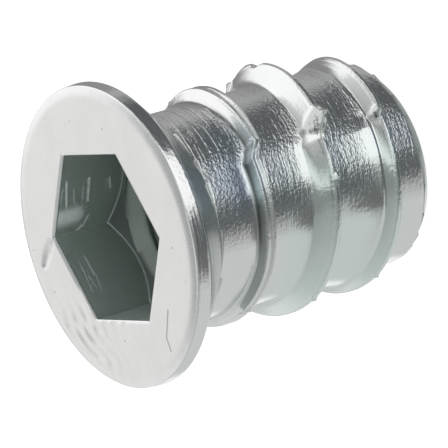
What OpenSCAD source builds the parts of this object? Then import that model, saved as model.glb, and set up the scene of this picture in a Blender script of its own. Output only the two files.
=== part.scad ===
// Flanged threaded insert with a hexagon socket, die cast in one piece.
// It stands on its tip end: +Z leaves the flange face, the tip face is at z = 0.

/* [Flange] */
// Diameter of the flange
flange_d = 15; // [13.6:0.1:18]
// Height of the straight rim, measured from the flange face
rim_h = 0.8; // [0.6:0.05:1.4]
// Rounding between the rim and the flange face
rim_r = 0.22; // [0.1:0.02:0.28]
// Angle between the conical seat under the flange and the axis
seat_angle = 45; // [38:1:60]
// Step from the end of the seat down to the core
seat_step = 0.15; // [0.05:0.05:0.4]

/* [Body] */
// Overall length, from the flange face to the tip face
length = 16; // [13:0.5:30]
// Diameter of the core, which is the floor of the outer thread's groove
core_d = 10.3; // [9.8:0.1:11.2]
// Width of the chamfer around the tip, measured along the radius
tip_chamfer = 0.4; // [0.1:0.05:0.6]
// Height of the chamfer around the tip, measured along the axis
tip_chamfer_h = 0.45; // [0.2:0.05:0.8]

/* [Outer thread] */
// Axial distance between two turns of the ridge
pitch = 3.8; // [3:0.1:5]
// Hand of the outer thread
thread_hand = -1; // [-1:Left hand, 1:Right hand]
// Diameter over the crest where the thread is widest
crest_d = 12.4; // [11.8:0.1:12.6]
// Height of that widest place above the tip face
widest_z = 5.4; // [4:0.1:8]
// Angle by which the crest tapers from its widest place down to the tip
tip_taper = 8; // [0:0.5:9]
// Angle by which the crest tapers from its widest place up to the flange
seat_taper = 6; // [0:0.5:7]
// Width of the ridge where it stands on the core
ridge_w = 1.4; // [1.35:0.05:1.8]
// Angle between the flank that faces the flange and the axis
seat_flank_angle = 50; // [48:1:65]
// Angle between the flank that faces the tip and the axis
tip_flank_angle = 72; // [70:1:80]
// Distance from the end of the seat to the foot of the ridge where it begins
thread_lead = 1.2; // [0.8:0.05:2]
// Distance from the tip face to the foot of the ridge where it ends
thread_tail = 0.45; // [0.4:0.05:2]
// Turn over which the ridge rises out of the core, and sinks into it
run_out = 75; // [50:5:120]
// Direction, seen from above, at which the ridge begins under the flange
thread_start = 90; // [0:5:355]

/* [Bore and socket] */
// Diameter of the bore, at the crests of its own thread
bore_d = 6.65; // [5.2:0.05:7]
// Chamfer at the tip end of the bore
bore_chamfer = 0.5; // [0.2:0.05:0.8]
// Width of the hexagon socket across its flats
socket_af = 8.1; // [7.6:0.05:8.6]
// Depth of the socket at its six corners, from the flange face
socket_depth = 3.2; // [2:0.1:4.5]
// Chamfer around the mouth of the socket
socket_chamfer = 0.12; // [0.05:0.01:0.25]
// Angle between the conical floor of the socket and the axis
socket_floor_angle = 45; // [40:1:65]

/* [Hidden] */

// Facets on one turn of the ridge, and on a quarter of a rounded edge
RIDGE_STEPS = 60;
ROUND_STEPS = 4;
// How far the ridge reaches into the core, and a cut past a face
SINK = 0.4;
PAST = 1;

flange_r = flange_d / 2;
core_r = core_d / 2;
crest_r = crest_d / 2;
bore_r = bore_d / 2;
hex_corner_r = socket_af / 2 / cos(30);

// Heights of the underside of the rim and of the end of the seat
rim_z = length - rim_h;
seat_end_r = core_r + seat_step;
seat_end_z = rim_z - (flange_r - seat_end_r) / tan(seat_angle);

// The ridge: the height of its foot where it begins, and the turn that it makes
ridge_top_z = seat_end_z - thread_lead;
ridge_turn = 360 * (ridge_top_z - thread_tail) / pitch;
ridge_count = ceil(RIDGE_STEPS * ridge_turn / 360);

// Points of a quarter circle of radius r about centre c, from angle a on
function quarter(c, r, a) =
    [for (i = [0:ROUND_STEPS]) c + r * [cos(a + 90 * i / ROUND_STEPS), sin(a + 90 * i / ROUND_STEPS)]];

// Height of the ridge's foot, on the side of the tip, at turn t
function foot_z(t) = ridge_top_z - pitch * t / 360;

// Radius of the double cone that cuts off the crests, at height z
function envelope_r(z) = crest_r - max((widest_z - z) * tan(tip_taper), (z - widest_z) * tan(seat_taper));

// Rise of the ridge at turn t, from 0 inside the core to 1 at full height
function rise(t) = min(1, t / run_out, (ridge_turn - t) / run_out);

// Radius of the crest at turn t
function crest_at(t) =
    let (sunk_r = core_r - SINK / 2)
    sunk_r + (envelope_r(foot_z(t)) - sunk_r) * rise(t);

// Section of the ridge at turn t as [radius, height] points, from its tip side to its flange side
function ridge_section(t) =
    let (z = foot_z(t))
    let (radii = [core_r - SINK, crest_at(t)])
    concat([for (r = radii) [r, z + (r - core_r) / tan(tip_flank_angle)]],
           [for (r = [radii[1], radii[0]]) [r, z + ridge_w - (r - core_r) / tan(seat_flank_angle)]]);

// The same section turned to its place on the helix
function ridge_ring(t) =
    let (a = thread_start - thread_hand * t)
    [for (p = ridge_section(t)) [p[0] * cos(a), p[0] * sin(a), p[1]]];

// Two triangles for each side of the section between ring i and the next
function ridge_sides(i, n) =
    [for (k = [0:n - 1])
        let (a = i * n + k)
        let (b = i * n + (k + 1) % n)
        each [[a, b, a + n], [b, b + n, a + n]]];

// A face with its points in the order that the hand of the thread needs
function facing(face) = thread_hand < 0 ? face : [face[2], face[1], face[0]];

// The helical ridge of the outer thread, sunk a little into the core
module ridge() {
    n = 4;
    last = ridge_count * n;
    points = [for (i = [0:ridge_count]) each ridge_ring(ridge_turn * i / ridge_count)];
    sides = [for (i = [0:ridge_count - 1]) each ridge_sides(i, n)];
    ends = [[2, 1, 0], [3, 2, 0], [last, last + 1, last + 2], [last, last + 2, last + 3]];
    polyhedron(points, [for (face = concat(sides, ends)) facing(face)]);
}

// Solid of revolution: core, tip chamfer, conical seat and flange
module turned_body() {
    profile = concat(
        [[0, 0],
         [core_r - tip_chamfer, 0],
         [core_r, tip_chamfer_h],
         [core_r, seat_end_z - seat_step / 2],
         [seat_end_r, seat_end_z],
         [flange_r, rim_z]],
        quarter([flange_r - rim_r, length - rim_r], rim_r, 0),
        [[0, length]]);
    rotate_extrude($fn = 96) polygon(profile);
}

// The hexagon that the key enters, with its conical floor and a chamfered mouth
module socket() {
    floor_drop = (hex_corner_r - bore_r) / tan(socket_floor_angle);
    corner_z = length - socket_depth;
    intersection() {
        translate([0, 0, corner_z - floor_drop])
            rotate(90)
                cylinder(r = hex_corner_r, h = socket_depth + floor_drop + PAST, $fn = 6);
        rotate_extrude($fn = 96)
            polygon([[0, corner_z - floor_drop],
                     [bore_r, corner_z - floor_drop],
                     [hex_corner_r + PAST, corner_z + PAST / tan(socket_floor_angle)],
                     [hex_corner_r + PAST, length + PAST],
                     [0, length + PAST]]);
    }
    mouth_r = hex_corner_r + socket_chamfer / cos(30);
    translate([0, 0, length - socket_chamfer])
        rotate(90)
            linear_extrude(2 * socket_chamfer, scale = 2 * mouth_r / hex_corner_r - 1)
                circle(hex_corner_r, $fn = 6);
}

// The plain bore and its chamfer at the tip
module bore() {
    translate([0, 0, -PAST])
        cylinder(r = bore_r, h = length + PAST, $fn = 96);
    translate([0, 0, -bore_chamfer])
        cylinder(r1 = bore_r + 2 * bore_chamfer, r2 = bore_r, h = 2 * bore_chamfer, $fn = 96);
}

module insert_body() {
    color([0.78, 0.79, 0.78])
        difference() {
            union() {
                turned_body();
                ridge();
            }
            socket();
            bore();
        }
}

insert_body();
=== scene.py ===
import math

import bpy
import numpy as np
from mathutils import Matrix, Vector


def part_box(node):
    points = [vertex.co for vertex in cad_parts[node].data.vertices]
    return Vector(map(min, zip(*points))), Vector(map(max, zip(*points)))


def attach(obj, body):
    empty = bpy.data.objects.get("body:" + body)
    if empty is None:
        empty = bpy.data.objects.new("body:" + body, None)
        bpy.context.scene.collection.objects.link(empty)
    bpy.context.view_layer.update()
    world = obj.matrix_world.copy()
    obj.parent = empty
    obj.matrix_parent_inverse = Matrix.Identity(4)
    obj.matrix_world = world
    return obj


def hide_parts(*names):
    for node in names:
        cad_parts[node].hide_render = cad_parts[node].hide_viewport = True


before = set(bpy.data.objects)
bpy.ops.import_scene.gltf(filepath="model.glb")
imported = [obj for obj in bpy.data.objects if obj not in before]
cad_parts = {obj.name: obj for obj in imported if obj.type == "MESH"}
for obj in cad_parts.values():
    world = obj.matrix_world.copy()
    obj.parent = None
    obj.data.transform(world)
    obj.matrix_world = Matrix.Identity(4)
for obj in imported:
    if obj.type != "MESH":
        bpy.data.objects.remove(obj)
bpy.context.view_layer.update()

MM = 0.001
WHITE = (1, 1, 1, 1)
low, high = [np.array(corner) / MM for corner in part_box("insert_body")]

# Sizes of the casting in millimetres: the overall ones come from the frame
LENGTH = high[2] - low[2]
FLANGE_R = (high[0] - low[0]) / 2
RIM_H = 0.8
RIM_ROUND = 0.05
RIM_DRAFT = 0.06
EDGE_R = FLANGE_R - RIM_DRAFT
ROLL_DROP = 0.12
ROLL_W = 0.6
SEAT_STEP = 0.05
SEAT_ROUND = 0.07
CORE_R = 5.15
TIP_CORE_R = 4.97
CORE_TAPER_Z = 4.6
SEAT_END_R = CORE_R + SEAT_STEP
SEAT_END_Z = LENGTH - RIM_H - (FLANGE_R - SEAT_END_R)
TIP_CHAMFER = 0.42
TIP_CHAMFER_H = 0.5
TIP_ROUND = 0.12

# Outer thread: a ridge with two flanks, cut off by a double cone
PITCH = 3.8
CREST_R = 6.2
WIDEST_Z = 5.4
TIP_TAPER = math.tan(math.radians(8))
SEAT_TAPER = math.tan(math.radians(6))
SEAT_FLANK = math.tan(math.radians(50))
TIP_FLANK = math.tan(math.radians(72))
THREAD_LEAD = 1.1
RIDGE_TOP_Z = SEAT_END_Z - THREAD_LEAD
RIDGE_END_Z = 0.45
RIDGE_TURN = 360 * (RIDGE_TOP_Z - RIDGE_END_Z) / PITCH
RUN_OUT = 75
RUN_OUT_SINK = 0.2
THREAD_START = 90
CREST_ROUND = 0.08
FOOT_ROUND = 0.24

# A ridge lower than the first height is sunk, and one above the second has its whole fillet and its line.
# From foot to crest the core's taper fades out, over at least the third. Waves make the crest uneven
SUNK_H = 0.05
GROWN_H = 0.3
BARE_H = 0.2
CREST_WAVE = 0.03
CREST_WAVE_SEED = 3
CREST_WAVE_COUNT = 40
CREST_WAVE_TURNS = 3.0

# Bore with its screw thread, and hexagon socket
BORE_R = 3.325
BORE_CHAMFER = 0.5
BORE_ROUND = 0.06
SCREW_PITCH = 1.25
SCREW_DEPTH = 0.65
SCREW_FLAT = 0.31
SCREW_FLANK = math.tan(math.radians(60))
SCREW_ROOT_ROUND = 0.08
SCREW_CREST_ROUND = 0.06
SCREW_FADE = 0.7
SOCKET_AF = 8.1
SOCKET_DEPTH = 3.2
SOCKET_CORNER_R = SOCKET_AF / 2 / math.cos(math.pi / 6)
SOCKET_CORNER_Z = LENGTH - SOCKET_DEPTH
SOCKET_CHAMFER = 0.06
BORE_TOP_Z = SOCKET_CORNER_Z - (SOCKET_CORNER_R - BORE_R)
SCREW_RUN_UP = 0.66
SCREW_TOP_R = BORE_R + SCREW_RUN_UP
SCREW_TOP_Z = BORE_TOP_Z + SCREW_RUN_UP

# One column of points for each step around the axis
COLUMNS = 324
turned = np.arange(COLUMNS) / COLUMNS
angle_deg = (THREAD_START + 360 * turned) % 360
angle = np.radians(angle_deg)

# Rows across one turn: for each stretch of the ridge, how far along it each row lies
ROW_STRETCHES = (
    (0, 0.1, 0.25, 0.45, 0.65, 0.85),
    (0, 0.15, 0.3, 0.5, 0.7, 0.85),
    (0, 0.08, 0.2, 0.4, 0.6, 0.8, 0.92),
    (0, 0.02, 0.05, 0.1, 0.16, 0.24, 0.32, 0.4, 0.48, 0.56, 0.64, 0.72, 0.8, 0.87, 0.93, 0.97, 0.99),
)
row_stretch = np.concatenate([np.full(len(s), k) for k, s in enumerate(ROW_STRETCHES)])
row_share = np.concatenate(ROW_STRETCHES)

# Rows across one pitch of the screw thread, down the socket and across the face
SCREW_ROWS = (0, 0.13, 0.29, 0.36, 0.56, 0.77, 0.86, 0.93, 1.1)
MOUTH_ROWS = (0.25, 0.75, 1.0)
WALL_ROWS = (0.03, 0.1, 0.2, 0.32, 0.45, 0.58, 0.7, 0.8, 0.9, 0.97, 1.0)
CONE_ROWS = (0.05, 0.15, 0.3, 0.45, 0.6, 0.75, 0.9, 1.0)
FACE_ROWS = 26
FACE_CROWDING = 1.3
CORNER_ROWS = 4
SEAT_ROWS = 9
RIM_ROWS = 3

# Along the ridge, as pairs of a turn in degrees and a length: how far the slides of the mould set it towards
# the tip, its width at foot and crest, a notch and a lobe in its height, and the depth of the line on it
SLIDE_SHIFT = (
    (0, 0), (60, 0.15), (100, 0.3), (122, 0.17), (150, 0.26), (180, 0.14), (206, 0), (214, 0.4), (300, 0.45),
    (330, 0.2), (420, 0.35), (470, 0.25), (520, 0.12), (566, 0), (574, 0.3), (660, 0.35), (700, 0.2),
    (790, 0.35), (835, 0.3), (880, 0.15), (926, 0), (934, 0.1), (1075, 0.1),
)
RIDGE_WIDTH = (
    (0, 0.85), (206, 0.85), (214, 0.78), (232, 0.97), (250, 1.2), (275, 1.4), (500, 1.36), (550, 1.22),
    (574, 1.2), (600, 1.4), (840, 1.3), (880, 1.0), (934, 0.95), (960, 1.25), (990, 1.4), (1075, 1.4),
)
CREST_WIDTH = (
    (0, 0.5), (206, 0.5), (214, 0.36), (232, 0.47), (250, 0.58), (275, 0.68), (330, 0.68), (450, 0.4),
    (520, 0.24), (700, 0.24), (830, 0.32), (890, 0.24), (934, 0.22), (1075, 0.25),
)
SLIDE_RISE = (
    (0, 0), (628, 0), (632, -0.12), (636, -0.12), (639, 0.05), (645, 0.13), (655, 0.1), (659, 0.03),
    (664, 0), (1075, 0),
)
LINE_DEPTH = ((0, 0.11), (380, 0.11), (430, 0), (1075, 0))
LINE_SHARE = 0.3
LINE_LEAST_W = 0.02

# The fillet between the core and the flank that faces the flange, by turn
FILLET_HEIGHT = ((0, 0.03), (206, 0.03), (214, 0.05), (420, 0.08), (570, 0.13), (700, 0.15), (840, 0.26),
                 (926, 0.26), (934, 0.12), (1075, 0.1))
FILLET_REACH = ((0, 0.5), (206, 0.5), (214, 0.6), (420, 1.0), (570, 1.5), (700, 1.6), (840, 2.1), (926, 2.1),
                (934, 1.4), (1075, 1.2))

# Burrs where the slides met: turn, place across the turn, length and width to both sides, height
BURRS = (
    (213, 0.55, 0.45, 0.5, 0.22),
    (574, 0.3, 0.95, 1.15, 0.58),
    (545, 0.30, 0.40, 0.3, 0.16),
    (664, 0.72, 0.50, 0.4, 0.32),
    (932, 0.50, 0.50, 0.5, 0.24),
    (668, 1.05, 0.40, 0.3, 0.25),
)
BURR_CORNER = 0.8
BURR_BREAK = 0.16
BURR_DULL_H = 0.1

# Fins along the parting lines, at these directions
FIN_LINES = (30, 210)
FIN_H = 0.1
FIN_W = 0.1

# Marks on the face: a dent from its thin end to its blunt end, and ripples as waves in X and Y that a second
# wave swings to and fro, each as its X and Y, the swing, and the X and Y of the swing
DENT = ((-0.1, 4.95), (-1.45, 6.1))
DENT_DEPTH = 0.13
DENT_W = 0.3
RIPPLE_AT = (-5.3, 3.2)
RIPPLE_SPREAD = (2.2, 3.2)
RIPPLE_FADE = (0.35, 1)
RIPPLE_H = 0.032
RIPPLES = ((7.6, -4.2, 2.2, 0.8, 1.9), (4.4, -7.5, 2, 2.3, 0))

# Finish masks: how dull the seat, the socket's walls, the bore and the cone are, how streaky each part is,
# and how satin the mouth of the socket is, and how much darker the first flank is coloured. The levels of
# the bore and the cone also paint shade on them: a dark colour for the shade deep in the socket
SEAT_DULL = 0.2
WALL_DULL = 0.5
BORE_DULL_AND_SHADE = 0.85
CONE_DULL_AND_SHADE = 1.0
FIRST_FLANK_DARK = 0.6 * SEAT_DULL
CREST_STREAKS = 0.8
CREST_EDGE = (0.75, 0.98)
TIP_STREAKS = 0.4
RIM_STREAKS = 0.25
LEAST_STREAKS = 0.12
SMOOTH_STREAKS = 0.1
SOCKET_STREAKS = 0.06
MOUTH_SATIN = 0.4

# Streaks begin at the edge of the groove. They are held back at its clean foot beside the bright band, and
# below that band
GROOVE_EDGE = (-0.1, 0.1)
BAND_TURN = 197
BAND_TURN_W = 18
CLEAN_SHARE = 0.9
CLEAN_REACH = (-1.1, -0.25)
SMOOTH_SHARE = 0.85
SMOOTH_FROM = (18, 32)
SMOOTH_TO = (-150, -110)

# A dark line of colour at the foot of the first flank, by turn
FOOT_DARK_W = 0.07
FOOT_DARK_FROM = (148, 172)
FOOT_DARK_END = 214
FOOT_DARK_TO = (-275, -225)


def smoothstep(x, low_end, high_end):
    """0 below the low end, 1 above the high end, and a cubic S between them."""
    s = np.clip((x - low_end) / (high_end - low_end), 0, 1)
    return s * s * (3 - 2 * s)


def soft_min(a, b, width):
    """The smaller of two heights, with the corner between them rounded over the given width."""
    s = np.clip(0.5 + 0.5 * (b - a) / width, 0, 1)
    return b + (a - b) * s - width * s * (1 - s)


def soft_max(a, b, width):
    """The larger of two heights, with the corner between them rounded over the given width."""
    return -soft_min(-a, -b, width)


def waves(x, seed, count, longest):
    """A sum of sine waves with random phases and shorter and shorter lengths, about 1 high."""
    draw = np.random.default_rng(seed)
    k = np.arange(1, count + 1)
    phase = draw.uniform(0, 2 * np.pi, count)
    size = draw.uniform(0.4, 1, count) / np.sqrt(k)
    return np.sum(size * np.sin(2 * np.pi * k * np.asarray(x)[..., None] / longest + phase), -1) / size.sum()


def by_turn(turn, table):
    """Value at a turn, on straight lines between the pairs of turn and value in a table."""
    turns, values = zip(*table)
    return np.interp(turn, turns, values)


def envelope(turn):
    """Radius of the double cone that cuts off the crest, at a turn in degrees from the ridge's start."""
    foot = RIDGE_TOP_Z - PITCH * turn / 360
    return CREST_R - np.maximum((WIDEST_Z - foot) * TIP_TAPER, (foot - WIDEST_Z) * SEAT_TAPER)


def ridge_height(turn):
    """Height of the crest over the core. The rise and the run-out fade it into the core at the two ends."""
    rise = np.minimum(1, np.minimum(turn / RUN_OUT, (RIDGE_TURN - turn) / RUN_OUT))
    sunk = CORE_R - RUN_OUT_SINK
    return np.maximum(sunk + (envelope(turn) - sunk) * rise - CORE_R, 0)


def fin_height():
    """Height of the fins in every column: a bell curve of the distance from the nearest parting line."""
    off_line = np.min([np.abs((angle_deg - line + 180) % 360 - 180) for line in FIN_LINES], axis=0)
    return FIN_H * np.exp(-(np.radians(off_line) * CREST_R / FIN_W) ** 2)


def ridge_section(across, width, height, seat_slope):
    """Height of the ridge at a distance across it: the lowest of two flanks and a crest, corners rounded."""
    flanks = soft_min(across * TIP_FLANK, (width - across) * seat_slope, CREST_ROUND)
    return soft_min(flanks, height, CREST_ROUND)


def burr_lift(turn, across):
    """Height of the burrs over the ridge: tents on a diamond, with their slopes broken by small waves."""
    lift = 0 * across
    for place, middle, long, wide, peak in BURRS:
        x = np.radians(turn - place) * CREST_R / long
        y = (across - middle) / wide
        tent = 1 - np.maximum(np.abs(x), np.abs(y)) - BURR_CORNER * np.minimum(np.abs(x), np.abs(y))
        broken = 1 + BURR_BREAK * np.sin(9 * x + 4 * y) * np.sin(7 * y - 3 * x + 1)
        lift = lift + peak * np.clip(tent, 0, 1) * broken
    return lift


def groove_streaks(turn, beyond):
    """How streaky the groove's floor is, by turn and by the distance beyond the foot of the ridge.

    It is 1, less at the clean foot beside the bright band and on the smooth side below the band, and 0 on
    the ridge itself."""
    off_band = (turn - BAND_TURN + 180) % 360 - 180
    clean_foot = CLEAN_SHARE * np.exp(-(off_band / BAND_TURN_W) ** 2)
    streaks = 1 - clean_foot * smoothstep(-beyond, *CLEAN_REACH)
    smooth_side = smoothstep(-off_band, *SMOOTH_FROM) * smoothstep(off_band, *SMOOTH_TO)
    return streaks * (1 - SMOOTH_SHARE * smooth_side) * smoothstep(beyond, *GROOVE_EDGE)


def outer_thread():
    """The threaded part of the body, as rows that climb the helix.

    A point is named by its turn and its distance across the turn from the foot of the ridge. Its height over
    the core is that of the ridge, of the next ridge above or of the wide fillet that leads from the core up
    to the flank, whichever is highest, less the line and with the burrs. Points past either end are pressed
    onto the end circles. Each column steps down one pitch in a full turn."""
    blocks = np.arange(3, -2, -1)
    turn = 360 * (turned[None, None, :] + blocks[None, :, None])
    uneven = waves(turn / 360, CREST_WAVE_SEED, CREST_WAVE_COUNT, CREST_WAVE_TURNS)
    height = ridge_height(turn) * (1 + CREST_WAVE * uneven)
    height = np.where(height > SUNK_H, height + fin_height() + by_turn(turn, SLIDE_RISE), height)
    width = by_turn(turn, RIDGE_WIDTH)
    full = envelope(turn) - CORE_R
    slope = full / (width - full / TIP_FLANK - by_turn(turn, CREST_WIDTH))
    crest_from, crest_to = height / TIP_FLANK, width - height / slope
    corners = np.concatenate([0 * turn, crest_from, crest_to, width, 0 * turn + PITCH])
    start = corners[row_stretch]
    across = start + row_share[:, None, None] * (corners[row_stretch + 1] - start)

    above = np.where(turn >= 360, ridge_height(turn - 360), 0)
    lift = np.maximum(ridge_section(across, width, height, slope),
                      ridge_section(across - PITCH, width, above, SEAT_FLANK))
    fillet = np.clip(1 - (across - width) / by_turn(turn, FILLET_REACH), 0, 1) ** 2
    fillet = np.where(across >= width, fillet, np.clip(across / width, 0, 1))
    base = by_turn(turn, FILLET_HEIGHT) * np.clip(height / GROWN_H, 0, 1) * fillet
    line_w = LINE_SHARE * (crest_to - crest_from) + LINE_LEAST_W
    off_line = np.abs(across - (crest_from + crest_to) / 2) / line_w
    line = by_turn(turn, LINE_DEPTH) * np.clip(1 - off_line, 0, 1) * (height > GROWN_H)
    burr = burr_lift(turn, across)
    lift = soft_max(lift, base, FOOT_ROUND) - line + burr

    span = np.where(across > width, (PITCH - across) / (PITCH - width), 1)
    foot_z = RIDGE_TOP_Z - PITCH * turn / 360
    shift, shift_above = by_turn(turn, SLIDE_SHIFT), by_turn(turn - 360, SLIDE_SHIFT)
    z = foot_z + across - shift * span - shift_above * (1 - span)
    low_z, high_z = TIP_CHAMFER_H, SEAT_END_Z - SEAT_STEP / 2
    lift = np.where((z > low_z) & (z < high_z), lift, 0)
    z = np.clip(z, low_z, high_z)
    bare = np.clip(1 - lift / height.clip(BARE_H), 0, 1)
    drop = (CORE_R - TIP_CORE_R) * np.clip(1 - z / CORE_TAPER_Z, 0, 1) * bare
    radius = CORE_R - drop + lift

    crest = smoothstep(lift, CREST_EDGE[0] * height, CREST_EDGE[1] * height + 0.01) * (height > SUNK_H)
    streaks = np.maximum(groove_streaks(turn, across - width), CREST_STREAKS * crest).clip(LEAST_STREAKS)
    near_foot_dark = smoothstep(turn, *FOOT_DARK_FROM) * smoothstep(-turn, *FOOT_DARK_TO)
    foot_dark = np.exp(-((across - width) / FOOT_DARK_W) ** 2) * near_foot_dark
    first_flank = (across > crest_to) & (across < width) & (turn < FOOT_DARK_END)
    dull_and_shade = np.maximum(FIRST_FLANK_DARK * first_flank, SEAT_DULL * np.clip(burr / BURR_DULL_H, 0, 1))

    def stack(a):
        return np.moveaxis(np.broadcast_to(a, z.shape), 1, 0).reshape(-1, COLUMNS)

    return dict(radius=stack(radius), z=stack(z), u=stack(np.radians(turn) * CORE_R), v=stack(across),
                finish_and_shade=np.stack([stack(streaks), 0 * stack(z), stack(dull_and_shade)], -1), foot_dark=stack(foot_dark),
                shift=len(row_share), u_turn=2 * np.pi * CORE_R, v_turn=PITCH)


def bore_thread():
    """The screw thread of the bore, as rows that run down the bore.

    Across one pitch the wall goes from the crest out along a 30 degree flank to the root and back. At the
    top the thread cuts into the cone of the socket, so the wall is the wider of the two. At the tip it fades
    out."""
    turns = np.arange(-1, math.ceil(SCREW_TOP_Z / SCREW_PITCH) + 1)
    across = np.array(SCREW_ROWS)[None, :, None]
    z = SCREW_PITCH * (turned[None, None, :] + turns[:, None, None]) + across
    rise = np.minimum((across - SCREW_FLAT) * SCREW_FLANK, (SCREW_PITCH - across) * SCREW_FLANK)
    depth = soft_max(soft_min(rise, 0 * rise + SCREW_DEPTH, SCREW_ROOT_ROUND), 0 * rise, SCREW_CREST_ROUND)
    fade = smoothstep(z, BORE_CHAMFER, BORE_CHAMFER + SCREW_FADE)
    radius = np.maximum(BORE_R + depth * fade, BORE_R + z - BORE_TOP_Z)
    radius = np.where(z <= BORE_CHAMFER, BORE_R, np.where(z >= SCREW_TOP_Z, SCREW_TOP_R, radius))
    z = np.clip(z, BORE_CHAMFER, SCREW_TOP_Z)

    def stack(a):
        return np.broadcast_to(a, z.shape).reshape(-1, COLUMNS)[::-1]

    ones = 1 + 0 * stack(z)
    # The bore's level gives it a dull finish and painted shade, a dark colour for the shade inside the bore
    finish_and_shade = np.stack([SMOOTH_STREAKS * ones, 0 * ones, BORE_DULL_AND_SHADE * ones], -1)
    return dict(radius=stack(radius), z=stack(z), u=stack(np.radians(360 * turned)[None, None] * BORE_R),
                v=stack(z), finish_and_shade=finish_and_shade, shift=len(SCREW_ROWS), u_turn=2 * np.pi * BORE_R, v_turn=0)


def rounded_corner(before, corner, after, size, count):
    """Points of a quadratic curve that cuts a corner off at the given distance on both sides."""
    before, corner, after = [np.asarray(p, float) for p in (before, corner, after)]
    a = corner + (before - corner) / np.linalg.norm(before - corner) * size
    b = corner + (after - corner) / np.linalg.norm(after - corner) * size
    t = np.linspace(0, 1, count)[:, None]
    return (1 - t) ** 2 * a + 2 * t * (1 - t) * corner + t ** 2 * b


def between(a, b, count):
    """Evenly spaced points strictly between two points."""
    t = np.linspace(0, 1, count + 2)[1:-1, None]
    return np.asarray(a, float) * (1 - t) + np.asarray(b, float) * t


def angle_run():
    """Angle of every column, counted on from the first one, in radians, as one row."""
    return 2 * np.pi * turned[None, :]


def turned_rows(points, streaks):
    """Rows of a surface of revolution through [radius, height] points."""
    points = np.asarray(points, float)
    ones = np.ones((len(points), COLUMNS))
    run = np.concatenate([[0], np.cumsum(np.linalg.norm(np.diff(points, axis=0), axis=1))])
    finish_and_shade = np.stack([streaks * ones, 0 * ones, 0 * ones], -1)
    return dict(radius=points[:, :1] * ones, z=points[:, 1:] * ones, u=angle_run() * points[:, :1],
                v=run[:, None] * ones, finish_and_shade=finish_and_shade, shift=0, u_turn=2 * np.pi * CORE_R, v_turn=0)


def hexagon(across_flats):
    """Radius of a hexagon in the direction of every column, with corners on the Y axis."""
    from_flat = (angle_deg + 30) % 60 - 30
    return across_flats / 2 / np.cos(np.radians(from_flat))


def face_roll(r):
    """Drop of the flange face towards its edge, as the square of the way across the rolled part."""
    return ROLL_DROP * np.clip(1 - (EDGE_R - r) / ROLL_W, 0, 1) ** 2


def seat_and_rim():
    """Step, conical seat, rim and the rounding into the flange face, from below."""
    step_foot = (CORE_R, SEAT_END_Z - SEAT_STEP / 2)
    seat_end = (SEAT_END_R, SEAT_END_Z)
    rim_low = (FLANGE_R, LENGTH - RIM_H)
    rim_high = (EDGE_R, LENGTH - ROLL_DROP)
    face = (EDGE_R - RIM_ROUND, LENGTH - face_roll(EDGE_R - RIM_ROUND))
    points = np.concatenate([
        rounded_corner(step_foot, seat_end, rim_low, SEAT_ROUND, CORNER_ROWS),
        between(seat_end, rim_low, SEAT_ROWS),
        rounded_corner(seat_end, rim_low, rim_high, SEAT_ROUND, CORNER_ROWS),
        between(rim_low, rim_high, RIM_ROWS),
        rounded_corner(rim_low, rim_high, face, RIM_ROUND, CORNER_ROWS),
    ])
    rows = turned_rows(points, RIM_STREAKS)
    rows["finish_and_shade"][:CORNER_ROWS + SEAT_ROWS + 1] = (SMOOTH_STREAKS, 0, SEAT_DULL)
    return rows


def face_marks(x, y):
    """Depth below the flange face: a leaf-shaped dent with a sharp middle, and ripples fading at the rim."""
    (ax, ay), (bx, by) = DENT
    along = np.clip(((x - ax) * (bx - ax) + (y - ay) * (by - ay)) / ((bx - ax) ** 2 + (by - ay) ** 2), 0, 1)
    away = np.hypot(x - ax - along * (bx - ax), y - ay - along * (by - ay))
    leaf = DENT_W * (0.15 + 0.85 * np.sin(np.pi * np.clip(0.1 + 0.8 * along, 0, 1)))
    dent = DENT_DEPTH * np.clip(1 - away / leaf, 0, 1)
    from_x, from_y = (x - RIPPLE_AT[0]) / RIPPLE_SPREAD[0], (y - RIPPLE_AT[1]) / RIPPLE_SPREAD[1]
    patch = np.exp(-from_x ** 2 - from_y ** 2)
    patch = patch * smoothstep(-np.hypot(x, y), -FLANGE_R + RIPPLE_FADE[0], -FLANGE_R + RIPPLE_FADE[1])
    swing = sum(np.sin(kx * x + ky * y + size * np.sin(sx * x + sy * y)) for kx, ky, size, sx, sy in RIPPLES)
    return dent + RIPPLE_H * patch * (1 + swing / 2)


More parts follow.
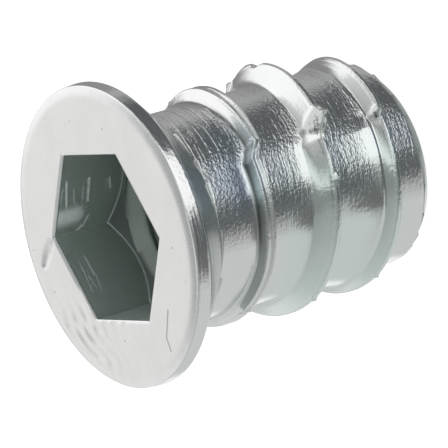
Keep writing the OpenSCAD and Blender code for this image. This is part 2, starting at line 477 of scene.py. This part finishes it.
def face_and_socket():
    """Flange face from its rounded edge in to the hexagon, the chamfered mouth, the six walls and the cone.

    Every row runs once around. On the face it blends from the circle to the hexagon. The walls go down to
    the line where the conical floor meets them, which dips in the middle of each wall."""
    mouth_share, wall_share, cone_share = [np.array(r)[:, None] for r in (MOUTH_ROWS, WALL_ROWS, CONE_ROWS)]
    wall = hexagon(SOCKET_AF)
    mouth = hexagon(SOCKET_AF + 2 * SOCKET_CHAMFER)
    outer = EDGE_R - RIM_ROUND
    face_share = (np.arange(1, FACE_ROWS + 1) / FACE_ROWS)[:, None] ** FACE_CROWDING
    face_r = outer + (mouth - outer)[None, :] * face_share
    face_z = LENGTH - face_roll(face_r) - face_marks(face_r * np.cos(angle), face_r * np.sin(angle))
    mouth_r = mouth + (wall - mouth)[None, :] * mouth_share
    mouth_z = LENGTH - SOCKET_CHAMFER * mouth_share + 0 * mouth_r
    top = LENGTH - SOCKET_CHAMFER
    line = SOCKET_CORNER_Z - (SOCKET_CORNER_R - wall)
    wall_z = top + (line - top)[None, :] * wall_share
    wall_r = wall[None, :] + 0 * wall_z
    cone_r = wall + (SCREW_TOP_R - wall)[None, :] * cone_share
    cone_z = line + (SCREW_TOP_Z - line)[None, :] * cone_share
    radius = np.concatenate([face_r, mouth_r, wall_r, cone_r])
    z = np.concatenate([face_z, mouth_z, wall_z, cone_z])
    run = np.concatenate([[0], np.cumsum(np.hypot(np.diff(radius[:, 0]), np.diff(z[:, 0])))])
    # The cone's level paints it nearly black, painted shade at the bottom of the socket
    masks = [(0.0, 1.0, 0.0), (SMOOTH_STREAKS, MOUTH_SATIN, 0.0), (SOCKET_STREAKS, 0.0, WALL_DULL),
             (SOCKET_STREAKS, 0.0, CONE_DULL_AND_SHADE)]
    masks = np.repeat(masks, [len(part) for part in (face_r, mouth_r, wall_r, cone_r)], axis=0)
    finish_and_shade = np.broadcast_to(masks[:, None, :], radius.shape + (3,))
    return dict(radius=radius, z=z, u=angle_run() * CORE_R + 0 * radius, v=run[:, None] + 0 * radius,
                finish_and_shade=finish_and_shade, shift=0, u_turn=2 * np.pi * CORE_R, v_turn=0)


def tip_rows():
    """Chamfer of the bore, flat end and chamfer around the tip, from the bore outwards."""
    bore_edge = (BORE_R, BORE_CHAMFER)
    end_in = (BORE_R + BORE_CHAMFER, 0)
    end_out = (TIP_CORE_R - TIP_CHAMFER, 0)
    body_edge = (CORE_R - (CORE_R - TIP_CORE_R) * (1 - TIP_CHAMFER_H / CORE_TAPER_Z), TIP_CHAMFER_H)
    points = np.concatenate([
        between(bore_edge, end_in, 2),
        rounded_corner(bore_edge, end_in, end_out, BORE_ROUND, 3),
        between(end_in, end_out, 2),
        rounded_corner(end_in, end_out, body_edge, TIP_ROUND, 5),
        between(end_out, body_edge, 2)[1:],
    ])
    return turned_rows(points, TIP_STREAKS)


def block_faces(block, first, rows):
    """Four-sided faces of a block whose first row has the given number, and their corners on the strip.

    In a helical block a row joins, past the last column, the row one pitch further on."""
    count, shift = len(block["radius"]), block["shift"]
    number = np.arange(rows * COLUMNS).reshape(rows, COLUMNS)
    row = np.arange(first, first + count)
    shift_high = np.full(count, shift)
    shift_high[-1] = 0
    left_low, left_high = number[row], number[(row + 1) % rows]
    right_low = np.concatenate([left_low[:, 1:], number[np.maximum(row - shift, 0), :1]], 1)
    right_high = np.concatenate([left_high[:, 1:], number[(row + 1 - shift_high) % rows, :1]], 1)
    keep = np.ones((count, COLUMNS), bool)
    keep[:, -1] = np.arange(count) >= shift
    quads = np.stack([left_low, right_low, right_high, left_high], -1)[keep]
    u, v = block["u"], block["v"]
    u_right = np.concatenate([u[:, 1:], u[:, -1:] + block["u_turn"] / COLUMNS], 1)
    v_right = np.concatenate([v[:, 1:], v[:, -1:]], 1)
    v_high = np.concatenate([v[1:], v[-1:] + 0.01])
    if block["v_turn"]:
        v_high = np.where(v_high < v, block["v_turn"], v_high)
    v_right_high = np.concatenate([v_high[:, 1:], v_high[:, -1:]], 1)
    corner_u = np.stack([u, u_right, u_right, u], -1)[keep]
    corner_v = np.stack([v, v_right, v_right_high, v_high], -1)[keep]
    return quads, np.stack([corner_u, corner_v], -1)


def casting(name, blocks):
    """One closed mesh from blocks of rows that follow each other once round the section.

    Points that fall together are merged, and faces that shrink to a line are dropped."""
    radius = np.concatenate([b["radius"] for b in blocks])
    z = np.concatenate([b["z"] for b in blocks])
    finish_and_shade = np.concatenate([b["finish_and_shade"] for b in blocks]).reshape(-1, 3)
    foot_dark = np.concatenate([b.get("foot_dark", 0 * b["radius"]) for b in blocks]).ravel()
    points = np.stack([radius * np.cos(angle), radius * np.sin(angle), z], -1).reshape(-1, 3)
    firsts = np.cumsum([0] + [len(b["radius"]) for b in blocks])
    faces = [block_faces(b, first, len(radius)) for b, first in zip(blocks, firsts)]
    quads, corner_uv = [np.concatenate(part) for part in zip(*faces)]
    _, where, back = np.unique(np.round(points, 6), axis=0, return_index=True, return_inverse=True)
    quads = back.reshape(-1)[quads]
    fresh = quads != np.roll(quads, 1, axis=1)
    sound = (fresh.sum(1) >= 3) & (quads[:, 0] != quads[:, 2]) & (quads[:, 1] != quads[:, 3])
    quads, corner_uv, fresh = quads[sound], corner_uv[sound], fresh[sound]
    loop_total = fresh.sum(1)
    loops = quads[fresh]
    mesh = bpy.data.meshes.new(name)
    mesh.vertices.add(len(where))
    mesh.vertices.foreach_set("co", (points[where] * MM).ravel())
    mesh.loops.add(len(loops))
    mesh.loops.foreach_set("vertex_index", loops)
    mesh.polygons.add(len(loop_total))
    mesh.polygons.foreach_set("loop_start", np.concatenate([[0], np.cumsum(loop_total)[:-1]]))
    mesh.polygons.foreach_set("loop_total", loop_total)
    mesh.update(calc_edges=True)
    mesh.polygons.foreach_set("use_smooth", np.ones(len(loop_total), bool))
    layer = mesh.uv_layers.new(name="strip")
    layer.data.foreach_set("uv", corner_uv[fresh].ravel())
    masks = mesh.attributes.new("finish_and_shade", "FLOAT_COLOR", "POINT")
    masks.data.foreach_set("color", np.concatenate([finish_and_shade, np.ones((len(finish_and_shade), 1))], 1)[where].ravel())
    mesh.attributes.new("foot_dark", "FLOAT", "POINT").data.foreach_set("value", foot_dark[where])
    mesh.validate()
    piece = bpy.data.objects.new(name, mesh)
    bpy.context.scene.collection.objects.link(piece)
    return piece


class Nodes:
    """A node tree with short ways to add a node and to join its sockets."""

    def __init__(self, owner):
        owner.use_nodes = True
        self.tree = owner.node_tree
        self.tree.nodes.clear()

    def add(self, kind, inputs=None, **settings):
        """A new node with the given settings, and a value or a link for each named input."""
        node = self.tree.nodes.new(kind)
        for key, value in settings.items():
            setattr(node, key, value)
        for key, value in (inputs or {}).items():
            self.put(node.inputs[key], value)
        return node

    def put(self, socket, value):
        """Link a socket to an output, or set its value."""
        if isinstance(value, bpy.types.NodeSocket):
            self.tree.links.new(value, socket)
        else:
            socket.default_value = value

    def fill(self, node, values):
        """The same node, with its first inputs filled in order."""
        for socket, value in zip(node.inputs, values):
            self.put(socket, value)
        return node

    def math(self, operation, *values):
        """Result of a math node."""
        return self.fill(self.add("ShaderNodeMath", operation=operation), values).outputs[0]

    def times(self, first, *others):
        """Product of all values."""
        for other in others:
            first = self.math("MULTIPLY", first, other)
        return first

    def plus(self, first, *others):
        """Sum of all values."""
        for other in others:
            first = self.math("ADD", first, other)
        return first

    def vector_math(self, operation, *values):
        """Vector result of a vector math node."""
        return self.fill(self.add("ShaderNodeVectorMath", operation=operation), values).outputs[0]

    def dot(self, a, b):
        """Dot product of two vectors."""
        return self.fill(self.add("ShaderNodeVectorMath", operation="DOT_PRODUCT"), (a, b)).outputs["Value"]

    def scaled(self, vector, factor):
        """A vector times a number."""
        node = self.add("ShaderNodeVectorMath", {"Vector": vector, "Scale": factor}, operation="SCALE")
        return node.outputs[0]

    def span(self, value, from_low, from_high, to_low, to_high):
        """A smooth step between two results as the value goes from the low to the high end."""
        node = self.add("ShaderNodeMapRange", interpolation_type="SMOOTHSTEP")
        return self.fill(node, (value, from_low, from_high, to_low, to_high)).outputs[0]

    def away(self, place, a, b):
        """Distance of a place from the stretch between two points."""
        along = Vector(b) - Vector(a)
        from_a = self.vector_math("SUBTRACT", place, a)
        share = self.dot(from_a, along / along.length_squared)
        reach = self.scaled(tuple(along), self.math("MINIMUM", self.math("MAXIMUM", share, 0.0), 1.0))
        node = self.add("ShaderNodeVectorMath", operation="DISTANCE")
        return self.fill(node, (from_a, reach)).outputs["Value"]

    def noise(self, vector, scale, detail=1.0, roughness=0.5):
        """Smooth noise between 0 and 1 that changes about as often as the scale says."""
        node = self.add("ShaderNodeTexNoise", {"Vector": vector, "Scale": scale, "Detail": detail,
                                               "Roughness": roughness})
        return node.outputs["Fac"]

    def streaks(self, strip, along, across):
        """Noise drawn out on the strip: how often it changes in a millimetre along and across the helix."""
        return self.noise(self.vector_math("MULTIPLY", strip, (along, across, 1.0)), 1.0)

    def ramp(self, value, stops):
        """Colours between stops, each a place and a colour or a grey."""
        node = self.add("ShaderNodeValToRGB", {"Fac": value})
        elements = node.color_ramp.elements
        while len(elements) < len(stops):
            elements.new(1.0)
        for element, (place, colour) in zip(elements, stops):
            element.position = place
            element.color = tuple(colour) + (1.0,) if hasattr(colour, "__len__") else (colour,) * 3 + (1.0,)
        return node.outputs["Color"]

    def blend(self, factor, a, b):
        """Colour a where the factor is 0, and colour b where it is 1."""
        node = self.add("ShaderNodeMix", data_type="RGBA")
        self.put(node.inputs["Factor"], factor)
        self.put(node.inputs["A"], a)
        self.put(node.inputs["B"], b)
        return node.outputs["Result"]


# Colours of the clear plate by cloud, of the dull places by mask, where the bore's and the cone's are
# painted shade, of specks and scratch, and of the dark line at the foot of the first flank
CLEAR_SHADES = ((0.3, (0.91, 0.92, 0.915)), (0.7, (0.95, 0.955, 0.95)))
DULL_AND_PAINTED_SHADE_COLOURS = ((SEAT_DULL, (0.62, 0.645, 0.635)), (WALL_DULL, (0.78, 0.85, 0.82)),
               (BORE_DULL_AND_SHADE, (0.37, 0.41, 0.38)), (CONE_DULL_AND_SHADE, (0.14, 0.16, 0.15)))
CLOUDS_PER_MM = 0.6
MARK_COLOUR = (0.2, 0.2, 0.2, 1)
MARK_SHARE = 0.65
SPECKS_PER_MM = 3.3
SPECK_EDGE = (0.765, 0.8)
FOOT_DARK_COLOUR = (0.1, 0.102, 0.105, 1)
FOOT_DARK_SHARE = 0.85

# A scratch on the face, with a hooked end, and the distances at which it begins and ends to fade
SCRATCH = ((-3.47, -4.22, LENGTH), (-4.84, -3.61, LENGTH), (-5.5, -3.75, LENGTH))
SCRATCH_EDGE = (0.02, 0.07)

# Tints of the passivated plate: teal along the middle of the body, and blue in a part of the first groove
TEAL_TINT = (0.94, 1.0, 0.985, 1)
TEAL_FROM_Z = (1.2, 2.6)
TEAL_TO_Z = (8.6, 9.8)
TEAL_TO_X = (1.2, 3.2)
TEAL_LEAST = 0.15
BLUE_TINT = (0.88, 0.95, 1.0, 1)
BLUE_PATCH = ((3.27, -3.98, 10.69), (1.43, -4.95, 11.22))
BLUE_EDGE = (0.6, 2.0)

# Roughness of the clear plate, and what the satin face, the dull places and the grain add to it
CLEAR_ROUGH = 0.13
SATIN_ROUGH = 0.15
DULL_ROUGH = 0.35
GRAIN_ROUGH = 0.06
GRAINS_PER_MM = 22.0

# Relief of the plate in millimetres. Streaks: changes in a millimetre along and across the helix, and share
STREAKS = ((0.9, 7.5, 0.5), (4.0, 15.0, 0.4), (0.14, 4.2, 0.35))
STREAK_H = 0.028
STREAK_LESS = -0.02
GRIT_PER_MM = 11.0
GRIT_H = 0.012
SWELL_PER_MM = 1.5
SWELL_H = 0.008
PEBBLES_PER_MM = 6.0
PEBBLE_H = 0.002
PEBBLE_MORE = 0.02

# Run along the helix, in millimetres, of a grained patch and of two ploughed places, two turns apart
GRAINED_FROM = (15.0, 16.5)
GRAINED_TO = (18.5, 20.0)
PLOUGHED = ((18.5, 1.0), (18.5 + 4 * math.pi * CORE_R, 0.6))
PLOUGHED_FADE = 2.0
PLOUGHED_RUN = 5.0
FURROWS = (0.12, 5.0)
FURROW_H = 0.08

# Painted reflections on the socket's walls, as strokes where the metal turns pale and matt: both ends, half
# the width, and how strongly the metal turns matt. Then the share of the half width that turns matt evenly,
# and how the grit thins a stroke
PAINTED_REFLECTION_STROKES = (
    ((2.33, 3.33, 15.75), (1.64, 3.73, 15.79), 0.08, 0.35),
    ((2.64, 3.15, 15.57), (1.42, 3.86, 15.44), 0.1, 0.7),
    ((2.18, 3.42, 15.11), (1.52, 3.8, 14.98), 0.09, 0.3),
    ((2.19, 3.41, 14.54), (1.61, 3.75, 14.49), 0.09, 0.3),
    ((2.54, 3.21, 14.24), (1.43, 3.85, 14.17), 0.12, 0.7),
    ((2.32, 3.33, 13.19), (1.81, 3.63, 13.09), 0.08, 0.25),
    ((2.3, 3.35, 12.99), (1.76, 3.66, 12.89), 0.1, 0.6),
    ((0.66, 4.3, 14.07), (0.27, 4.52, 14.23), 0.09, 0.5),
    ((0.27, 4.52, 14.23), (0.08, 4.63, 14.63), 0.1, 0.6),
    ((0.89, 4.16, 15.61), (0.87, 4.17, 14.85), 0.75, 0.72),
    ((-1.34, 3.9, 15.32), (-2.8, 3.06, 15.42), 0.06, 0.35),
    ((-1.23, 3.97, 14.91), (-2.05, 3.49, 14.88), 0.07, 0.45),
    ((-2.11, 3.46, 15.21), (-2.7, 3.12, 15.11), 0.06, 0.35),
    ((-2.0, 3.52, 14.8), (-2.89, 3.01, 14.93), 0.06, 0.3),
)
REFLECTION_STROKE_CORE = 0.2
REFLECTION_STROKE_GRAIN = (0.35, 0.6, 0.5, 1.0)


def plate_colour(n, place, satin, dull_and_shade):
    """Colour of the plate: clouded grey, dull places with painted shade in the bore and cone, tints, and
    specks, scratch and a dark foot line over them.
    """
    shade = n.ramp(n.noise(place, CLOUDS_PER_MM, 2.0), CLEAR_SHADES)
    # Dull places: in the bore and the cone this is painted shade, a dark colour for the shade deep in the
    # socket
    shade = n.blend(n.span(dull_and_shade, 0.0, SEAT_DULL, 0.0, 1.0), shade, n.ramp(dull_and_shade, DULL_AND_PAINTED_SHADE_COLOURS))
    x, _, z = n.add("ShaderNodeSeparateXYZ", {"Vector": place}).outputs
    teal = n.times(n.span(z, *TEAL_FROM_Z, 0.0, 1.0), n.span(z, *TEAL_TO_Z, 1.0, 0.0),
                   n.span(x, *TEAL_TO_X, 1.0, TEAL_LEAST))
    near_blue = n.span(n.away(place, *BLUE_PATCH), *BLUE_EDGE, 1.0, 0.0)
    tint = n.blend(near_blue, n.blend(teal, WHITE, TEAL_TINT), BLUE_TINT)
    shade = n.vector_math("MULTIPLY", shade, tint)
    off_scratch = n.math("MINIMUM", n.away(place, *SCRATCH[:2]), n.away(place, *SCRATCH[1:]))
    scratch = n.span(off_scratch, *SCRATCH_EDGE, 1.0, 0.0)
    specks = n.times(n.span(n.noise(place, SPECKS_PER_MM), *SPECK_EDGE, 0.0, 1.0), satin)
    shade = n.blend(n.times(n.math("MAXIMUM", scratch, specks), MARK_SHARE), shade, MARK_COLOUR)
    foot_dark = n.add("ShaderNodeAttribute", attribute_name="foot_dark").outputs["Fac"]
    return n.blend(n.times(foot_dark, FOOT_DARK_SHARE), shade, FOOT_DARK_COLOUR)


def plate_roughness(n, place, satin, dull_and_shade):
    """Roughness of the plate: a base, more on the satin face and in the dull socket, and a fine grain."""
    rough = n.math("MULTIPLY_ADD", satin, SATIN_ROUGH, CLEAR_ROUGH)
    grain = n.noise(place, GRAINS_PER_MM, 2.0, 0.6)
    return n.plus(rough, n.span(dull_and_shade, SEAT_DULL, WALL_DULL, 0.0, DULL_ROUGH),
                  n.times(n.math("SUBTRACT", grain, 0.5), GRAIN_ROUGH))


def plate_relief(n, place, strip, streaky, grit):
    """Height of the plate: streaks along the helix, grit in a patch, a low swell, pebbles and furrows."""
    along = n.add("ShaderNodeSeparateXYZ", {"Vector": strip}).outputs[0]
    grained = n.times(n.span(along, *GRAINED_FROM, 0.0, 1.0), n.span(along, *GRAINED_TO, 1.0, 0.0))
    streak = n.plus(*[n.times(n.streaks(strip, run, across), share) for run, across, share in STREAKS])
    ploughed = []
    for start, strength in PLOUGHED:
        end = start + PLOUGHED_RUN
        ploughed.append(n.times(n.span(along, start, start + PLOUGHED_FADE, 0.0, strength),
                                n.span(along, end, end + PLOUGHED_FADE, 1.0, 0.0)))
    pebbles = n.noise(place, PEBBLES_PER_MM, 3.0, 0.55)
    return n.plus(n.times(streak, streaky, n.math("MULTIPLY_ADD", grained, STREAK_LESS, STREAK_H)),
                  n.times(grit, grained, streaky, GRIT_H),
                  n.times(n.noise(place, SWELL_PER_MM, 2.0), SWELL_H),
                  n.times(pebbles, n.math("MULTIPLY_ADD", streaky, PEBBLE_MORE, PEBBLE_H)),
                  n.times(n.streaks(strip, *FURROWS), n.plus(*ploughed), streaky, FURROW_H))


def painted_wall_reflections(n, place, dull_and_shade, grit):
    """Painted reflections on the socket's walls: how far the metal turns pale and matt in the strongest of
    the strokes, grained.
    """
    painted_reflection = 0.0
    for start, end, wide, strength in PAINTED_REFLECTION_STROKES:
        stroke = n.span(n.away(place, start, end), REFLECTION_STROKE_CORE * wide, wide, strength, 0.0)
        painted_reflection = n.math("MAXIMUM", painted_reflection, stroke)
    on_wall = n.times(n.span(dull_and_shade, SEAT_DULL, WALL_DULL, 0.0, 1.0),
                      n.span(dull_and_shade, WALL_DULL, BORE_DULL_AND_SHADE, 1.0, 0.0))
    return n.times(on_wall, painted_reflection, n.span(grit, *REFLECTION_STROKE_GRAIN))


def zinc_plate():
    """Bright zinc plate on a casting: streaks along the helix, a satin flange face and a dull socket, with
    painted shade in its bore and cone and painted reflections on its walls.
    """
    material = bpy.data.materials.new("zinc_plate")
    n = Nodes(material)
    place = n.scaled(n.add("ShaderNodeTexCoord").outputs["Object"], 1 / MM)
    strip = n.add("ShaderNodeUVMap", uv_map="strip").outputs["UV"]
    finish_and_shade = n.add("ShaderNodeAttribute", attribute_name="finish_and_shade").outputs["Color"]
    streaky, satin, dull_and_shade = n.add("ShaderNodeSeparateColor", {"Color": finish_and_shade}).outputs
    grit = n.noise(place, GRIT_PER_MM, 2.0, 0.6)
    bump = n.add("ShaderNodeBump", {"Strength": 1.0, "Distance": MM,
                                    "Height": plate_relief(n, place, strip, streaky, grit)})
    shader = n.add("ShaderNodeBsdfPrincipled", {
        "Base Color": plate_colour(n, place, satin, dull_and_shade),
        # Painted reflections: pale matt strokes on the socket's walls
        "Metallic": n.math("SUBTRACT", 1.0, painted_wall_reflections(n, place, dull_and_shade, grit)),
        "Roughness": plate_roughness(n, place, satin, dull_and_shade),
        "Normal": bump.outputs[0],
    })
    n.add("ShaderNodeOutputMaterial", {"Surface": shader.outputs[0]})
    return material


# Camera: turned round the axis to the side that the photograph shows, and rolled about its own line of sight
CAMERA_AZIMUTH = 9.0
CAMERA_ELEVATION = 32.77
CAMERA_ROLL = 106.3
CAMERA_DISTANCE = 230.0
PICTURE = 448
PIXELS_PER_MM = 20.96
FACE_PIXEL = (105.2, 238.1)
SENSOR = 36.0
CLIP_START = 0.01


def camera_axes():
    """Right, up and back of the camera: first level at its azimuth and elevation, then rolled."""
    a, e, roll = np.radians([CAMERA_AZIMUTH, CAMERA_ELEVATION, CAMERA_ROLL])
    back = np.array([np.sin(a) * np.cos(e), -np.cos(a) * np.cos(e), np.sin(e)])
    level = np.array([np.cos(a), np.sin(a), 0])
    upright = np.cross(back, level)
    right = np.cos(roll) * level - np.sin(roll) * upright
    up = np.sin(roll) * level + np.cos(roll) * upright
    return right, up, back


def place_camera():
    """The camera, set so that the middle of the flange face falls on its pixel in the photograph."""
    right, up, back = camera_axes()
    off_x = (FACE_PIXEL[0] - PICTURE / 2) / PIXELS_PER_MM
    off_y = (PICTURE / 2 - FACE_PIXEL[1]) / PIXELS_PER_MM
    spot = np.array([0, 0, LENGTH]) - off_x * right - off_y * up + CAMERA_DISTANCE * back
    data = bpy.data.cameras.new("camera")
    data.sensor_width = SENSOR
    data.lens = PIXELS_PER_MM * CAMERA_DISTANCE / PICTURE * SENSOR
    data.clip_start = CLIP_START
    camera = bpy.data.objects.new("camera", data)
    columns = np.stack([right, up, back, spot * MM], 1)
    camera.matrix_world = Matrix(np.vstack([columns, [0, 0, 0, 1]]).tolist())
    bpy.context.scene.collection.objects.link(camera)
    bpy.context.scene.camera = camera


def white_world():
    """A plain white world, which the camera and the reflections both see."""
    world = bpy.data.worlds.new("studio")
    bpy.context.scene.world = world
    n = Nodes(world)
    background = n.add("ShaderNodeBackground", {"Color": WHITE, "Strength": 1.0})
    n.add("ShaderNodeOutputWorld", {"Surface": background.outputs[0]})


def cool(level):
    """A grey of the given level with a little less red and a little more green."""
    return (0.965 * level, 1.02 * level, 0.995 * level)


# Light tent, in metres. Its rings of panels are pairs of a direction, in degrees from the camera's side, and
# a colour or a grey
TENT_R = 0.9
TENT_STEPS = 48
NIGHT = (0.1, 0.108, 0.112)
DUSK = (0.108, 0.117, 0.122)
BLUE = (0.1, 0.122, 0.16)
NIGHT_TO_BLUE = (0.1, 0.112, 0.13)
MINT = (0.565, 0.58, 0.572)
BEHIND = (0.8, 0.79, 0.775)
LOW_RING = (
    (-180, 0.35), (-114, 0.4), (-96, NIGHT), (-52, NIGHT), (-42, NIGHT_TO_BLUE), (-36, BLUE), (-8, BLUE),
    (0, DUSK), (30, DUSK), (40, 0.42), (56, MINT), (140, MINT), (152, 0.92), (170, 0.8), (180, 0.35),
)
MIDDLE_RING = (
    (-180, 0.5), (-170, 0.24), (-116, 0.26), (-100, 0.69), (-62, 1.0), (-8, 1.0), (0, 0.7), (8, 0.33),
    (20, 0.24), (30, 0.14), (42, 0.14), (50, 0.4), (60, 0.5), (120, 0.57), (180, 0.55),
)
TOP_RING = (
    (-180, BEHIND), (-177, BEHIND), (-168, 1.0), (-106, 1.0), (-95, 0.63), (-76, 0.5), (-56, 0.42),
    (-44, 0.29), (-30, cool(0.55)), (-20, cool(0.68)), (-12, cool(0.8)), (-6, cool(0.76)), (-1, cool(0.5)),
    (6, cool(0.26)), (24, cool(0.24)), (38, cool(0.33)), (57, cool(0.38)), (80, cool(0.44)),
    (95, cool(0.47)), (117, cool(0.54)), (150, 0.8), (180, BEHIND),
)

# By direction, how far below the level the middle ring begins and how far above it the top ring does, and
# how soft their edges are
MIDDLE_FROM = (
    (-180, 0.5), (-124, 0.5), (-108, 0.22), (-54, 0.22), (-40, 0.47), (-4, 0.47), (4, 0.28), (26, 0.28),
    (34, 0.5), (44, 0.5), (52, 0.28), (180, 0.4),
)
MIDDLE_EDGE = (-0.07, 0.07)
TOP_FROM = ((-180, 0.16), (-172, 0.1), (-160, 0.0), (120, 0.0), (150, 0.16), (180, 0.16))
TOP_EDGE = (-0.22, 0.08)
GROUND_COLOUR = (0.25, 0.285, 0.275, 1)
GROUND_EDGE = (-0.95, -0.75)
CARD_ELEVATION = 70.0
CARD_COLOUR = (0.36, 0.37, 0.365, 1)
CARD_EDGE = (0.82, 0.97)


def tent_cloth():
    """Thin cloth that dims the white behind it: rings of grey panels at three heights, over a darker ground.

    The low ring ends at an edge that lies higher on some sides, the middle ring is a lit strip, the top ring
    is above it, and one grey card hangs over the part, on the side away from the camera."""
    material = bpy.data.materials.new("tent_cloth")
    n = Nodes(material)
    ray = n.vector_math("NORMALIZE", n.add("ShaderNodeTexCoord").outputs["Object"])
    a, e = math.radians(CAMERA_AZIMUTH), math.radians(CARD_ELEVATION)
    ahead = Vector((math.sin(a), -math.cos(a), 0))
    aside = Vector((-math.cos(a), -math.sin(a), 0))
    card = Vector((0, 0, math.sin(e))) - math.cos(e) * ahead
    lift = n.dot(ray, (0, 0, 1))
    round_about = n.math("ARCTAN2", n.dot(ray, aside), n.dot(ray, ahead))
    round_about = n.math("MULTIPLY_ADD", round_about, 0.5 / math.pi, 0.5)

    def ring(pairs):
        return n.ramp(round_about, [(degrees / 360 + 0.5, colour) for degrees, colour in pairs])

    above_edge = n.span(n.plus(lift, ring(MIDDLE_FROM)), *MIDDLE_EDGE, 0.0, 1.0)
    light = n.blend(above_edge, ring(LOW_RING), ring(MIDDLE_RING))
    above_strip = n.span(n.math("SUBTRACT", lift, ring(TOP_FROM)), *TOP_EDGE, 0.0, 1.0)
    light = n.blend(above_strip, light, ring(TOP_RING))
    light = n.blend(n.span(lift, *GROUND_EDGE, 0.0, 1.0), GROUND_COLOUR, light)
    light = n.blend(n.span(n.dot(ray, card), *CARD_EDGE, 0.0, 1.0), light, CARD_COLOUR)
    cloth = n.add("ShaderNodeBsdfTransparent", {"Color": light})
    n.add("ShaderNodeOutputMaterial", {"Surface": cloth.outputs[0]})
    return material


def light_tent():
    """A round tent about the part, a sphere by its two angles, which only the reflections see.

    The dark bands that bright metal shows are its panels. Where a panel is white, it shows the world."""
    down, about = np.meshgrid(np.linspace(0, np.pi, TENT_STEPS + 1)[1:-1],
                              np.arange(2 * TENT_STEPS) * np.pi / TENT_STEPS, indexing="ij")
    rings = TENT_R * np.stack([np.sin(down) * np.cos(about), np.sin(down) * np.sin(about), np.cos(down)], -1)
    number = np.arange(down.size).reshape(down.shape)
    after = np.roll(number, -1, axis=1)
    quads = np.stack([number[:-1], number[1:], after[1:], after[:-1]], -1).reshape(-1, 4)
    caps = [number[0].tolist(), number[-1][::-1].tolist()]
    mesh = bpy.data.meshes.new("light_tent")
    mesh.from_pydata(rings.reshape(-1, 3).tolist(), [], quads.tolist() + caps)
    tent = bpy.data.objects.new("light_tent", mesh)
    bpy.context.scene.collection.objects.link(tent)
    tent.visible_camera = False
    tent.visible_diffuse = False
    tent.visible_shadow = False
    mesh.materials.append(tent_cloth())


# Floor: its size in metres, its grey, and the glow that the camera sees on it
FLOOR_R = 1.2
FLOOR_CORNERS = 96
FLOOR_GREY = (0.45, 0.45, 0.45, 1)
FLOOR_GLOW = 0.8


def floor():
    """A plain disc under the tip. The camera sees it almost white, with the soft shadow of the part."""
    ring = np.radians(np.arange(FLOOR_CORNERS) * 360 / FLOOR_CORNERS)
    corners = np.stack([FLOOR_R * np.cos(ring), FLOOR_R * np.sin(ring), 0 * ring], 1)
    mesh = bpy.data.meshes.new("floor")
    mesh.from_pydata(corners.tolist(), [], [list(range(FLOOR_CORNERS))])
    disc = bpy.data.objects.new("floor", mesh)
    bpy.context.scene.collection.objects.link(disc)
    disc.visible_glossy = False
    material = bpy.data.materials.new("floor_white")
    n = Nodes(material)
    matt = n.add("ShaderNodeBsdfDiffuse", {"Color": FLOOR_GREY})
    seen = n.add("ShaderNodeLightPath").outputs["Is Camera Ray"]
    glow = n.add("ShaderNodeEmission", {"Color": WHITE, "Strength": n.times(seen, FLOOR_GLOW)})
    both = n.fill(n.add("ShaderNodeAddShader"), (matt.outputs[0], glow.outputs[0]))
    n.add("ShaderNodeOutputMaterial", {"Surface": both.outputs[0]})
    mesh.materials.append(material)


sections = [outer_thread(), seat_and_rim(), face_and_socket(), bore_thread(), tip_rows()]
insert = casting("threaded_insert", sections)
insert.data.materials.append(zinc_plate())
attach(insert, "root")
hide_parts("insert_body")

floor()
white_world()
light_tent()
place_camera()
bpy.context.scene.view_settings.view_transform = "Standard"
